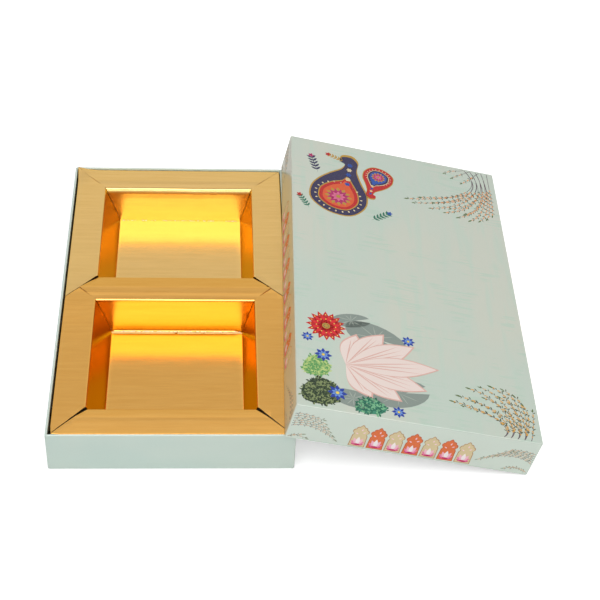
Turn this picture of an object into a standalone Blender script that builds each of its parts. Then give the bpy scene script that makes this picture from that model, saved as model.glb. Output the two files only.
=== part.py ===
"""Lidded gift box for dried fruit: a board tray wrapped in paper, two folded gold inserts that make
its two cavities, and a full-depth lid. The lid is off, and leans on the tray's right-hand side.

Metres, +Z up. The origin is the centre of the tray's underside: +X to the right, +Y to the back.
"""

import math

import bmesh
import bpy
from mathutils import Matrix, Vector

# What the box holds: two cavities, one behind the other, open at the top
cavity_width = 0.1195
cavity_depth = 0.0311
far_cavity_length = 0.1098
near_cavity_length = 0.1124
cavity_floor_width = 0.0990
far_floor_length = 0.1000
near_floor_length = 0.1015

# Flaps of gold board around the cavities
side_flap = 0.0234
far_back_flap = 0.0240
near_front_flap = 0.02455
divider_width = 0.0256
flap_below_rim = 0.0010

# Tray and lid
lid_height = 0.0337
corner_radius = 0.0010
edge_radius = 0.0006
inner_corner_radius = 0.0003
turn_in = 0.0150

# Sheets that the box is made of
board_thickness = 0.0009
paper_thickness = 0.0002
stay_thickness = 0.0001
gold_thickness = 0.00045

# Clearances
glue_gap = 0.0001
lining_gap = 0.0003
closing_clearance = 0.00045
insert_side_clearance = 0.0008
insert_back_clearance = 0.0005
insert_front_clearance = 0.0005
rest_gap = 0.0003
tuck_clearance = 0.0006

# Paper stays over the corners of the boards
stay_arm = 0.0180
stay_end_margin = 0.0045
corner_slit = 0.0003

# How the inserts are folded
fold_spread = 0.0012
leg_fold_spread = 0.0008
fold_drop = 0.0010
far_crease_distance = 0.0056
far_crease_rise = 0.0004
far_crease_spread = 0.0039
front_crease_distance = 0.0090
front_crease_rise = 0.0006
front_crease_spread = 0.0030
divider_crease_distance = 0.0045
divider_crease_rise = 0.0003
divider_crease_spread = 0.0026
divider_crest_rise = 0.0006
divider_edge_drop = 0.0012
near_mitre_gap = 0.0016
mitre_gap = 0.0003
wall_seam_gap = 0.0002
leg_inset = 0.0014
tuck_end_inset = 0.0030
floor_shift_right = 0.0012
far_floor_inset = 0.0040
near_floor_inset = 0.0031

# The back walls are bowed: each gets steeper from its foot to its knee, and from there to its fold
far_foot_height = 0.0090
far_foot_reach = 0.0023
far_knee_height = 0.0188
far_knee_reach = 0.0010
near_foot_height = 0.00575
near_foot_reach = 0.0017
near_knee_height = 0.01275
near_knee_reach = 0.0009
back_bend_spread = 0.0028

# Where the lid leans
lid_overlap = 0.00435
lid_yaw = math.radians(-1.5)

fold_steps = 3
corner_steps = 3
sharpest_smooth_bend = math.radians(35)

# Sizes that follow from the ones above
stay_space = stay_thickness + 2 * glue_gap
wall_thickness = paper_thickness + stay_space + board_thickness + glue_gap + paper_thickness
floor_thickness = paper_thickness + glue_gap + board_thickness + glue_gap + paper_thickness
insert_floor = floor_thickness + rest_gap + gold_thickness
flap_level = insert_floor + cavity_depth
base_height = flap_level + flap_below_rim
insert_width = cavity_width + 2 * side_flap
inner_width = insert_width + 2 * insert_side_clearance
inserts_length = far_back_flap + far_cavity_length + divider_width + near_cavity_length + near_front_flap
inner_length = inserts_length + insert_back_clearance + insert_front_clearance
base_width = inner_width + 2 * wall_thickness
base_length = inner_length + 2 * wall_thickness
lid_width = base_width + 2 * (closing_clearance + wall_thickness)
lid_length = base_length + 2 * (closing_clearance + wall_thickness)

far_back_fold = inner_length / 2 - insert_back_clearance - far_back_flap
far_front_fold = far_back_fold - far_cavity_length
near_back_fold = far_front_fold - divider_width
near_front_fold = near_back_fold - near_cavity_length

# Colours and finishes, from the photograph
MINT_PAPER = ("mint_paper", (0.52, 0.65, 0.59), 0.45, 0.0)
PRINTED_PAPER = ("printed_paper", (0.55, 0.63, 0.53), 0.35, 0.0)
LINING_PAPER = ("lining_paper", (0.86, 0.86, 0.83), 0.70, 0.0)
GREY_BOARD = ("grey_board", (0.42, 0.40, 0.36), 0.90, 0.0)
TAPE_PAPER = ("tape_paper", (0.60, 0.46, 0.30), 0.80, 0.0)
GOLD_BOARD = ("gold_board", (0.83, 0.52, 0.17), 0.30, 0.9)


def clear_scene():
    for obj in list(bpy.data.objects):
        bpy.data.objects.remove(obj, do_unlink=True)


def new_collection(name):
    collection = bpy.data.collections.new(name)
    bpy.context.scene.collection.children.link(collection)
    return collection


def material(finish):
    name, colour, roughness, metallic = finish
    found = bpy.data.materials.get(name)
    if found:
        return found
    made = bpy.data.materials.new(name)
    made.use_nodes = True
    shader = made.node_tree.nodes["Principled BSDF"]
    shader.inputs["Base Color"].default_value = (*colour, 1.0)
    shader.inputs["Roughness"].default_value = roughness
    shader.inputs["Metallic"].default_value = metallic
    made.diffuse_color = (*colour, 1.0)
    return made


def add_object(name, mesh, finish, collection, parent=None):
    obj = bpy.data.objects.new(name, mesh)
    collection.objects.link(obj)
    obj.parent = parent
    mesh.materials.append(material(finish))
    mesh.shade_smooth()
    mesh.set_sharp_from_angle(angle=sharpest_smooth_bend)
    return obj


def add_solidify(obj, thickness):
    """Gives an open sheet its thickness, on the side that its faces turn away from."""
    wall = obj.modifiers.new("sheet", "SOLIDIFY")
    wall.thickness = thickness
    wall.offset = -1.0
    wall.use_even_offset = True


# Papers: one sheet that follows a profile round the box

def rounded_rectangle(half_x, half_y, radius):
    """Corner points of a rectangle with round corners, anticlockwise."""
    points = []
    for quarter, (sx, sy) in enumerate(((1, 1), (-1, 1), (-1, -1), (1, -1))):
        centre = Vector((sx * (half_x - radius), sy * (half_y - radius)))
        for step in range(corner_steps + 1):
            angle = math.pi / 2 * (quarter + step / corner_steps)
            points.append(centre + radius * Vector((math.cos(angle), math.sin(angle))))
    return points


def quarter_arc(centre_inset, centre_z, radius, start, end):
    """Points (inset, z) on an arc of the profile. An angle of zero points out of the box."""
    points = []
    for step in range(fold_steps + 1):
        angle = start + (end - start) * step / fold_steps
        points.append((centre_inset - radius * math.cos(angle), centre_z + radius * math.sin(angle)))
    return points


def wrap_profile(height):
    """Profile (inset, z) of a wrap: under the floor, up the wall, over the rim and down inside."""
    right_angle = math.pi / 2
    inner_radius = edge_radius - glue_gap
    profile = quarter_arc(edge_radius, edge_radius, edge_radius, -right_angle, 0.0)
    profile += quarter_arc(edge_radius, height - edge_radius, edge_radius, 0.0, right_angle)
    profile += quarter_arc(
        wall_thickness - inner_radius, height - inner_radius, inner_radius, right_angle, 2 * right_angle
    )
    profile.append((wall_thickness, height - turn_in))
    return profile


def lining_profile(height):
    """Profile of the lining: up the inside of the wall, to just under the wrap's turned-in edge."""
    return [(wall_thickness, floor_thickness), (wall_thickness, height - turn_in - lining_gap)]


def sheet_round_box(width, length, profile):
    """Open sheet: a floor, and one band of faces for each step of the profile."""
    sheet = bmesh.new()
    loops = []
    for inset, z in profile:
        radius = max(corner_radius - inset, inner_corner_radius)
        outline = rounded_rectangle(width / 2 - inset, length / 2 - inset, radius)
        loops.append([sheet.verts.new((x, y, z)) for x, y in outline])
    sheet.faces.new(loops[0])
    count = len(loops[0])
    for lower, upper in zip(loops, loops[1:]):
        for i in range(count):
            j = (i + 1) % count
            sheet.faces.new((lower[j], lower[i], upper[i], upper[j]))
    return sheet


def mesh_of(sheet, name, flip=False):
    """The finished mesh. The faces of a sheet have to turn to its printed or gold side."""
    if flip:
        bmesh.ops.reverse_faces(sheet, faces=sheet.faces)
    mesh = bpy.data.meshes.new(name)
    sheet.to_mesh(mesh)
    sheet.free()
    return mesh


def build_wrap(name, width, length, height, paper, collection, parent=None):
    sheet = sheet_round_box(width, length, wrap_profile(height))
    obj = add_object(name, mesh_of(sheet, name, flip=True), paper, collection, parent)
    add_solidify(obj, paper_thickness)
    return obj


def build_lining(name, width, length, height, collection, parent=None):
    sheet = sheet_round_box(width, length, lining_profile(height))
    obj = add_object(name, mesh_of(sheet, name), LINING_PAPER, collection, parent)
    add_solidify(obj, paper_thickness)
    return obj


# Boards: floor and walls of one blank, with a slit where two walls meet

def box_between(name, low, high, collection, parent=None):
    size = Vector(high) - Vector(low)
    centre = (Vector(high) + Vector(low)) / 2
    solid = bmesh.new()
    bmesh.ops.create_cube(solid, size=1.0, matrix=Matrix.Translation(centre) @ Matrix.Diagonal((*size, 1.0)))
    obj = bpy.data.objects.new(name, mesh_of(solid, name))
    collection.objects.link(obj)
    obj.parent = parent
    return obj


def add_cut(obj, cutter):
    cutter.hide_render = True
    cutter.display_type = "WIRE"
    cut = obj.modifiers.new(cutter.name, "BOOLEAN")
    cut.operation = "DIFFERENCE"
    cut.solver = "EXACT"
    cut.object = cutter


def build_board(name, width, length, height, collection, cutters, parent=None):
    inset = paper_thickness + stay_space
    inner = inset + board_thickness
    bottom = paper_thickness + glue_gap
    top = height - paper_thickness - stay_space
    over = top + board_thickness
    obj = box_between(
        name, (inset - width / 2, inset - length / 2, bottom), (width / 2 - inset, length / 2 - inset, top),
        collection, parent,
    )
    obj.data.materials.append(material(GREY_BOARD))
    corners = obj.modifiers.new("corners", "BEVEL")
    corners.width = corner_radius - inset
    corners.segments = corner_steps
    corners.limit_method = "WEIGHT"
    weights = obj.data.attributes.new("bevel_weight_edge", "FLOAT", "EDGE")
    for edge in obj.data.edges:
        ends = [obj.data.vertices[i].co for i in edge.vertices]
        upright = abs(ends[0].z - ends[1].z) > board_thickness
        weights.data[edge.index].value = 1.0 if upright else 0.0
    hollow = box_between(
        name + "_hollow", (inner - width / 2, inner - length / 2, bottom + board_thickness),
        (width / 2 - inner, length / 2 - inner, over), cutters, parent,
    )
    add_cut(obj, hollow)
    for side, sx in (("left", -1), ("right", 1)):
        edges = sorted((sx * (width / 2 - inner), sx * (width / 2 - inner - corner_slit)))
        for end, sy in (("front", -1), ("back", 1)):
            reach = sorted((sy * (length / 2 - inner - board_thickness), sy * length / 2))
            slit = box_between(
                f"{name}_slit_{end}_{side}", (edges[0], reach[0], bottom + board_thickness),
                (edges[1], reach[1], over), cutters, parent,
            )
            add_cut(obj, slit)
    return obj


def build_stay(name, sx, sy, width, length, height, collection, parent=None):
    """Strip of tape bent round one upright corner of the board, on its outside."""
    inset = paper_thickness + glue_gap
    radius = corner_radius - inset
    corner = rounded_rectangle(width / 2 - inset, length / 2 - inset, radius)[: corner_steps + 1]
    path = [corner[0] - Vector((0, stay_arm)), *corner, corner[-1] - Vector((stay_arm, 0))]
    sheet = bmesh.new()
    rows = []
    for z in (stay_end_margin, height - stay_end_margin):
        rows.append([sheet.verts.new((sx * x, sy * y, z)) for x, y in path])
    for i in range(len(path) - 1):
        sheet.faces.new((rows[0][i], rows[0][i + 1], rows[1][i + 1], rows[1][i]))
    obj = add_object(name, mesh_of(sheet, name, flip=sx * sy < 0), TAPE_PAPER, collection, parent)
    add_solidify(obj, stay_thickness)
    return obj


def build_shell(prefix, width, length, height, paper, collection, cutters, front, parent=None):
    """Board, corner stays, wrap and lining of the tray or the lid. front is -1 or 1, along its own Y."""
    build_board(prefix + "_board", width, length, height, collection, cutters, parent)
    for end, sy in (("front", front), ("back", -front)):
        for side, sx in (("left", -1), ("right", 1)):
            name = f"{prefix}_corner_stay_{end}_{side}"
            build_stay(name, sx, sy, width, length, height, collection, parent)
    build_wrap(prefix + "_wrap", width, length, height, paper, collection, parent)
    build_lining(prefix + "_lining", width, length, height, collection, parent)


# Gold inserts: one cross-shaped blank each, whose four arms are a wall, a flap and a leg

def row(out, z, ends, bend=0.0):
    """One line across an arm: its distance out, its height, its two ends and how far its bend spreads."""
    return Vector((out, z, *ends)), bend


def soften(rows):
    """Rounds the bends of an arm: each becomes a short curve between its two neighbours."""
    softened = [rows[0][0]]
    for (before, _), (here, bend), (after, _) in zip(rows, rows[1:], rows[2:]):
        if bend == 0.0:
            softened.append(here)
            continue
        start = here.lerp(before, bend / (here.xy - before.xy).length)
        end = here.lerp(after, bend / (here.xy - after.xy).length)
        for step in range(fold_steps + 1):
            t = step / fold_steps
            softened.append(start.lerp(here, t).lerp(here.lerp(end, t), t))
    softened.append(rows[-1][0])
    return softened


def between(first, second, share):
    return [a + (b - a) * share for a, b in zip(first, second)]


def leaning(floor_edge, fold, drop, z):
    """Where a wall stands at height z, if it leans from its floor edge to a fold that far below the flaps."""
    return floor_edge + (fold - floor_edge) * (z - insert_floor) / (cavity_depth - drop)


def leg_rows(out, level, ends):
    """A flap's outer fold, and the foot of the leg below it."""
    foot = (ends[0] + leg_inset, ends[1] - leg_inset)
    return [row(out, level, ends, leg_fold_spread), row(out, floor_thickness + rest_gap, foot)]


def floor_row(floor, side):
    """The edge of the floor that an arm folds up from."""
    left, right, front, back = floor
    out = {"left": -left, "right": right, "front": -front, "back": back}[side]
    ends = (front, back) if side in ("left", "right") else (left, right)
    return row(out, insert_floor, ends)


def back_wall_rows(floor, bends):
    """A back wall's bends between its floor edge and its fold, each given by its height and its place."""
    return [row(y, z, seam_ends(floor, z, wall_seam_gap), back_bend_spread) for z, y in bends]


def side_wall_rows(floor, side, near_end, bends):
    """Rows of a side wall, which stays flat, and whose far edge follows the bends of the back wall."""
    rows = []
    for z, y in bends:
        out = leaning(floor_row(floor, side)[0].x, cavity_width / 2, 0.0, z)
        ends = (leaning(floor[2], near_end, 0.0, z), y - mitre_gap)
        rows.append(row(out, z, ends, back_bend_spread))
    return rows


def side_rows(fold_ends, edge_ends, wall_rows=(), tip_rows=()):
    """Left or right arm: a wall, a flat flap and a leg."""
    fold = row(cavity_width / 2, flap_level, fold_ends, fold_spread)
    return [*wall_rows, fold, *tip_rows, *leg_rows(insert_width / 2, flap_level, edge_ends)]


def end_rows(fold_out, flap, fold_ends, edge_ends, crease):
    """Front or back arm: a wall, a flap that falls to its fold from a soft crease, and a leg."""
    distance, rise, spread = crease
    crease_ends = between(fold_ends, edge_ends, distance / flap)
    return [
        row(fold_out, flap_level - fold_drop, fold_ends, fold_spread),
        row(fold_out + distance, flap_level + rise, crease_ends, spread),
        *leg_rows(fold_out + flap, flap_level, edge_ends),
    ]


def divider_rows(fold_ends):
    """Back arm of the near insert: its flap lies over the far insert's, and has two pointed ends."""
    tip = divider_width / 2
    edge = cavity_width / 2 - mitre_gap
    crease = edge + divider_crease_distance
    reach = edge + tip
    crease_level = flap_level + divider_crease_rise
    return [
        row(near_back_fold, flap_level - fold_drop, fold_ends, fold_spread),
        row(near_back_fold + divider_crease_distance, crease_level, (-crease, crease), divider_crease_spread),
        row(near_back_fold + tip, flap_level + divider_crest_rise, (-reach, reach)),
        row(far_front_fold, flap_level - divider_edge_drop, (-edge, edge)),
    ]


def tucked_rows(fold_ends):
    """Front arm of the far insert, which is out of sight under the near insert's back flap."""
    fold_level = flap_level - divider_edge_drop - gold_thickness - rest_gap
    edge_level = flap_level - fold_drop - gold_thickness - tuck_clearance
    edge_out = -(near_back_fold + gold_thickness + tuck_clearance)
    reach = insert_width / 2 - tuck_end_inset
    return [
        row(-far_front_fold, fold_level, fold_ends, fold_spread),
        *leg_rows(edge_out, edge_level, (-reach, reach)),
    ]


def fold_insert(name, floor, arms, collection):
    """Folds one blank up from its floor, given as (left, right, front, back), and its four arms."""
    left, right, front, back = floor
    sheet = bmesh.new()
    corner = {(x, y): sheet.verts.new((x, y, insert_floor)) for x in (left, right) for y in (front, back)}
    ring = (corner[left, front], corner[right, front], corner[right, back], corner[left, back])
    sheet.faces.new(ring)
    shared = {
        "left": (corner[left, front], corner[left, back]),
        "right": (corner[right, front], corner[right, back]),
        "front": (corner[left, front], corner[right, front]),
        "back": (corner[left, back], corner[right, back]),
    }
    place = {
        "left": lambda out, along, z: (-out, along, z),
        "right": lambda out, along, z: (out, along, z),
        "front": lambda out, along, z: (along, -out, z),
        "back": lambda out, along, z: (along, out, z),
    }
    for side, rows in arms.items():
        lines = [shared[side]]
        for out, z, low, high in soften([floor_row(floor, side), *rows])[1:]:
            lines.append([sheet.verts.new(place[side](out, along, z)) for along in (low, high)])
        for inner, outer in zip(lines, lines[1:]):
            sheet.faces.new((inner[0], inner[1], outer[1], outer[0]))
    bmesh.ops.recalc_face_normals(sheet, faces=sheet.faces)
    sheet.faces.ensure_lookup_table()
    floor_faces_down = sheet.faces[0].normal.z < 0
    obj = add_object(name, mesh_of(sheet, name, flip=floor_faces_down), GOLD_BOARD, collection)
    add_solidify(obj, gold_thickness)
    return obj


def floor_of(back_fold, inset, length):
    """Edges of a cavity's floor, which lies a little to the right of the middle of its opening."""
    back = back_fold - inset
    left = floor_shift_right - cavity_floor_width / 2
    return (left, left + cavity_floor_width, back - length, back)


def seam_ends(floor, level, gap):
    """The two ends of a front or back fold at this height, just inside the side walls."""
    left = leaning(floor[0], -cavity_width / 2, 0.0, level)
    right = leaning(floor[1], cavity_width / 2, 0.0, level)
    return (left + gap, right - gap)


def build_far_insert(collection):
    floor = floor_of(far_back_fold, far_floor_inset, far_floor_length)
    _, _, front, back = floor
    fold_level = flap_level - fold_drop
    tuck_level = flap_level - divider_edge_drop - gold_thickness - rest_gap
    near_end = leaning(front, far_front_fold, flap_level - tuck_level, flap_level) + near_mitre_gap
    far_end = leaning(back, far_back_fold, fold_drop, flap_level) - mitre_gap
    outer_corner = far_back_fold + far_back_flap - mitre_gap
    seam = far_front_fold - side_flap + mitre_gap
    edge = insert_width / 2 - mitre_gap
    side_ends = (near_end, far_end)
    edge_ends = (seam, outer_corner)
    bends = [
        (insert_floor + far_foot_height, far_back_fold - far_foot_reach),
        (insert_floor + far_knee_height, far_back_fold - far_knee_reach),
    ]
    left_wall = side_wall_rows(floor, "left", near_end, bends)
    right_wall = side_wall_rows(floor, "right", near_end, bends)
    crease = (far_crease_distance, far_crease_rise, far_crease_spread)
    fold_ends = seam_ends(floor, fold_level, mitre_gap)
    back_rows = end_rows(far_back_fold, far_back_flap, fold_ends, (-edge, edge), crease)
    arms = {
        "left": side_rows(side_ends, edge_ends, left_wall),
        "right": side_rows(side_ends, edge_ends, right_wall),
        "front": tucked_rows(seam_ends(floor, tuck_level, wall_seam_gap)),
        "back": [*back_wall_rows(floor, bends), *back_rows],
    }
    return fold_insert("far_insert", floor, arms, collection)


def build_near_insert(collection):
    floor = floor_of(near_back_fold, near_floor_inset, near_floor_length)
    _, _, front, back = floor
    fold_level = flap_level - fold_drop
    near_end = leaning(front, near_front_fold, fold_drop, flap_level) + near_mitre_gap
    far_end = leaning(back, near_back_fold, fold_drop, flap_level) - mitre_gap
    outer_corner = near_front_fold - near_front_flap + mitre_gap
    seam = far_front_fold - side_flap - mitre_gap
    edge = insert_width / 2 - mitre_gap
    tip = divider_width / 2
    tip_ends = (near_end + (outer_corner - near_end) * tip / side_flap, near_back_fold + tip - mitre_gap)
    tip_rows = [row(cavity_width / 2 + tip, flap_level, tip_ends)]
    side_ends = (near_end, far_end)
    edge_ends = (outer_corner, seam)
    bends = [
        (insert_floor + near_foot_height, near_back_fold - near_foot_reach),
        (insert_floor + near_knee_height, near_back_fold - near_knee_reach),
    ]
    left_wall = side_wall_rows(floor, "left", near_end, bends)
    right_wall = side_wall_rows(floor, "right", near_end, bends)
    crease = (front_crease_distance, front_crease_rise, front_crease_spread)
    front_ends = seam_ends(floor, fold_level, near_mitre_gap)
    front_rows = end_rows(-near_front_fold, near_front_flap, front_ends, (-edge, edge), crease)
    back_rows = divider_rows(seam_ends(floor, fold_level, mitre_gap))
    arms = {
        "left": side_rows(side_ends, edge_ends, left_wall, tip_rows),
        "right": side_rows(side_ends, edge_ends, right_wall, tip_rows),
        "front": front_rows,
        "back": [*back_wall_rows(floor, bends), *back_rows],
    }
    return fold_insert("near_insert", floor, arms, collection)


# The lid leans with its left edge on the tray's rim and its right edge on the table

def lid_place():
    """Matrix that takes a shell built like the tray to where the lid leans, mouth down."""
    tilt = math.asin((base_height + rest_gap) / (lid_width - wall_thickness))
    seat = Vector((base_width / 2 - lid_overlap, 0.0, lid_width * math.sin(tilt)))
    lean = Matrix.Rotation(lid_yaw, 4, "Z") @ Matrix.Rotation(tilt, 4, "Y")
    mouth_down = Matrix.Translation((lid_width / 2, 0.0, lid_height)) @ Matrix.Rotation(math.pi, 4, "X")
    return Matrix.Translation(seat) @ lean @ mouth_down


def main():
    clear_scene()
    box = new_collection("dried_fruit_box")
    cutters = new_collection("cutters")
    build_shell("base", base_width, base_length, base_height, MINT_PAPER, box, cutters, front=-1)
    build_far_insert(box)
    build_near_insert(box)
    lid = bpy.data.objects.new("lid_frame", None)
    box.objects.link(lid)
    lid.matrix_world = lid_place()
    build_shell("lid", lid_width, lid_length, lid_height, PRINTED_PAPER, box, cutters, front=1, parent=lid)


main()
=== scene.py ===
# %% [markdown]
# A dried fruit box is three kinds of sheet: board, laminated paper and gold foil board. Its looks come
# from how these bend and shine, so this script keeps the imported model's shapes and works on surfaces.
# It starts by loading that model, which every piece below is measured from.

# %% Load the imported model
import math

import bmesh
import bpy
import numpy
from mathutils import Matrix, Vector, noise


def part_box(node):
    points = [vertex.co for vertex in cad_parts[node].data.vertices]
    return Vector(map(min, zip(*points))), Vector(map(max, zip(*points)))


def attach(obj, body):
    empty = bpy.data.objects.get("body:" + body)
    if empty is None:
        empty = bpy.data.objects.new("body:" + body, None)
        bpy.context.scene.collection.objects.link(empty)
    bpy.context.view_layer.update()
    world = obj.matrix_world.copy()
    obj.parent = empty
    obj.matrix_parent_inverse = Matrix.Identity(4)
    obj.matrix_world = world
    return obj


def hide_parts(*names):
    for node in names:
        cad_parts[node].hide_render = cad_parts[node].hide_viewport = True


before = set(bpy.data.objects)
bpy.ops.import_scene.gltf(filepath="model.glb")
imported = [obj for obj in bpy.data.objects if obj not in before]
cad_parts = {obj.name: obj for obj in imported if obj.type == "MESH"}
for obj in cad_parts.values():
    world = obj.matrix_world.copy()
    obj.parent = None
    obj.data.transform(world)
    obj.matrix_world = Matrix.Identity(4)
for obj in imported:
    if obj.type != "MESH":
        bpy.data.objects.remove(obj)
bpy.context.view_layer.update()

MM = 0.001

# %% [markdown]
# The tray stands square on the world's axes, so its box is enough. The lid leans, so its own axes are
# read from its mesh: up is the way its largest face looks, and back is that edge of the face that runs
# most nearly along y. The paper drawn below has sharper edges than the solid's, so the lid is taken a
# hair smaller to stay inside the model's box.

# %% Measure the tray and the leaning lid
def measure_lid(node):
    """Matrix from the lid's own axes to the world, and its size: right, back, and up from the mouth."""
    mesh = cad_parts[node].data
    largest = max(mesh.polygons, key=lambda face: face.area if face.normal.z > 0.5 else 0.0)
    up = largest.normal.normalized()
    corners = [mesh.vertices[i].co for i in largest.vertices]
    edges = [(second - first).normalized() for first, second in zip(corners, corners[1:] + corners[:1])]
    back = max(edges, key=lambda edge: abs(edge.y))
    back *= math.copysign(1.0, back.y)
    own = (back.cross(up), back, up)
    spans = [[v.co.dot(axis) for v in mesh.vertices] for axis in own]
    low = Vector([min(span) for span in spans])
    high = Vector([max(span) for span in spans])
    axes = Matrix(own).transposed()
    return Matrix.Translation(axes @ low) @ axes.to_4x4(), high - low


SHARPER = Vector((0.06, 0.06, 0.15)) * MM
LID, lid_size = measure_lid("lid_wrap")
LID = LID @ Matrix.Translation((SHARPER.x / 2, SHARPER.y / 2, 0.0))
lid_size -= SHARPER
lid_mm = lid_size / MM
tray_low, tray_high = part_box("base_wrap")
tray_size = tray_high - tray_low
print("tray, mm:", [round(v / MM, 1) for v in tray_size], "lid, mm:", [round(v, 1) for v in lid_mm])
print("the lid leans by", round(math.degrees(math.acos(LID.col[2].z)), 2), "degrees")

# %% [markdown]
# Node trees are easier to read as sums. Socket wraps one output of a node, and Python's operators on it
# add Math nodes. Graph holds a tree, and its node method makes any node, from values or links for its
# sockets and from its settings. Both classes work in materials and in Geometry Nodes.

# %% Two small classes for node trees
def arithmetic(operation, flipped=False):
    """The method behind one of Python's operators."""
    def method(self, other):
        values = (other, self) if flipped else (self, other)
        return self.maths(operation, *values)
    return method


class Socket:
    """An output of a node, on which arithmetic adds Math nodes."""

    __add__ = __radd__ = arithmetic("ADD")
    __sub__ = arithmetic("SUBTRACT")
    __rsub__ = arithmetic("SUBTRACT", flipped=True)
    __mul__ = arithmetic("MULTIPLY")
    __mod__ = arithmetic("FLOORED_MODULO")

    def __init__(self, graph, end):
        self.graph = graph
        self.end = end

    def maths(self, operation, first, second):
        return self.graph.node("ShaderNodeMath", {0: first, 1: second}, operation=operation)

    def over(self, edge):
        """1 where the value is over the edge, 0 elsewhere."""
        return self.maths("GREATER_THAN", self, edge)

    def ramp(self, low, high):
        """0 at low, 1 at high, smooth between them and held beyond them."""
        sockets = {"Value": self, "From Min": low, "From Max": high}
        return self.graph.node("ShaderNodeMapRange", sockets, interpolation_type="SMOOTHSTEP")

    def out(self, name):
        """Another output of the same node."""
        return Socket(self.graph, find(self.end.node.outputs, name))


def find(sockets, key):
    """A socket by its index or name. A name can be shared by kinds that are switched off."""
    if isinstance(key, int):
        return sockets[key]
    return next(socket for socket in sockets if socket.name == key and socket.enabled)


class Graph:
    """A node tree, and the one way in which this script adds nodes to it."""

    def __init__(self, tree):
        self.tree = tree

    def node(self, kind, sockets=None, output=None, **settings):
        """Adds a node. What comes back is the named output, or else the first one in use."""
        made = self.tree.nodes.new(kind)
        for name, value in settings.items():
            setattr(made, name, value)
        for name, value in (sockets or {}).items():
            self.join(value, find(made.inputs, name))
        ends = [end for end in made.outputs if end.enabled]
        return Socket(self, find(ends, output or 0)) if ends else None

    def join(self, value, end):
        if isinstance(value, Socket):
            self.tree.links.new(value.end, end)
        else:
            end.default_value = value

    def blend(self, factor, first, second):
        """A mix of two colours."""
        return self.node("ShaderNodeMix", {"Factor": factor, "A": first, "B": second}, data_type="RGBA")


def colour(*channels):
    """Red, green and blue read as 0 to 255 on a screen, as the linear values that Blender works in."""
    shares = [value / 255 for value in channels]
    return (*(s / 12.92 if s <= 0.04045 else ((s + 0.055) / 1.055) ** 2.4 for s in shares), 1.0)


print("classes: Socket, Graph")

# %% [markdown]
# Every finish starts from the same few things: a Principled shader, coordinates in millimetres so that
# the scales of its patterns are real sizes, and noise that can be stretched along an axis.

# %% A class for finishes
class Finish(Graph):
    """A material, with the object's coordinates in millimetres and noise on them."""

    def __init__(self, name, axes=Matrix.Identity(4)):
        self.material = bpy.data.materials.new(name)
        self.material.use_nodes = True
        super().__init__(self.material.node_tree)
        self.shader = self.tree.nodes["Principled BSDF"]
        place = axes.inverted()
        place.translation /= MM
        spot = self.node("ShaderNodeTexCoord", output="Object")
        spot = self.node("ShaderNodeVectorMath", {0: spot, "Scale": 1 / MM}, operation="SCALE")
        turn = {"Vector": spot, "Location": place.translation, "Rotation": place.to_euler()}
        self.mm = self.node("ShaderNodeMapping", turn)

    def noise(self, wavelengths, detail=2.0, coordinates=None):
        """Noise with a wavelength in millimetres along each axis."""
        pair = {0: coordinates or self.mm, 1: wavelengths}
        scaled = self.node("ShaderNodeVectorMath", pair, operation="DIVIDE")
        return self.node("ShaderNodeTexNoise", {"Vector": scaled, "Scale": 1.0, "Detail": detail})

    def attribute(self, name, output="Fac"):
        return self.node("ShaderNodeAttribute", output=output, attribute_name=name)

    def bump(self, height, distance, **under):
        """Relief of that many millimetres for a height of 0 to 1."""
        return self.node("ShaderNodeBump", {"Height": height, "Distance": distance * MM, **under})

    def set(self, **values):
        """Values or links of the shader's sockets, with _ for the spaces in their names."""
        for name, value in values.items():
            self.join(value, self.shader.inputs[name.replace("_", " ")])
        return self.material


print("class: Finish")

# %% [markdown]
# The box is covered with printed art paper under a gloss film. The film gives the clear reflections that
# slide over it at low angles, and the paper under it stays slightly uneven. Where the sheet is folded
# over an edge the film stretches and the print goes pale, and a pale highlight is painted along those
# rounded edges too. The pieces mark both with one attribute.

# %% Laminated papers
FILM_ROUGHNESS = 0.16
FILM_WAVE = (9.0, 9.0, 9.0)
EDGE_PALE = colour(226, 232, 224)


def laminate(finish, base, edge_strength):
    """Adds the gloss film, the worn edges with a painted highlight on them, and the paper's fibres to a
    printed colour.
    """
    wear = finish.attribute("wear")
    # Pale edges: wear where the sheet is folded, and a painted highlight along the rounded edges.
    worn_and_sheen = (wear * (finish.noise((3.0, 3.0, 3.0), 3.0) + 0.35)).ramp(0.25, 0.9) * edge_strength
    fibre = finish.noise((0.9, 0.9, 0.9), 4.0)
    mottled = finish.blend((fibre - 0.5) * 0.22 + 0.06, base, EDGE_PALE)
    dents = finish.noise(FILM_WAVE, 1.0) + fibre * 0.04
    return finish.set(
        Base_Color=finish.blend(worn_and_sheen, mottled, EDGE_PALE),
        Roughness=0.42 + fibre * 0.1,
        Coat_Weight=0.85 - worn_and_sheen * 0.5,
        Coat_Roughness=FILM_ROUGHNESS,
        Normal=finish.bump(dents, 0.035),
    )


def mint_paper():
    finish = Finish("mint_paper")
    cloud = finish.noise((60.0, 60.0, 40.0), 2.0)
    base = finish.blend(cloud.ramp(0.3, 0.7), colour(193, 213, 203), colour(200, 216, 205))
    return laminate(finish, base, 0.25)


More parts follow.
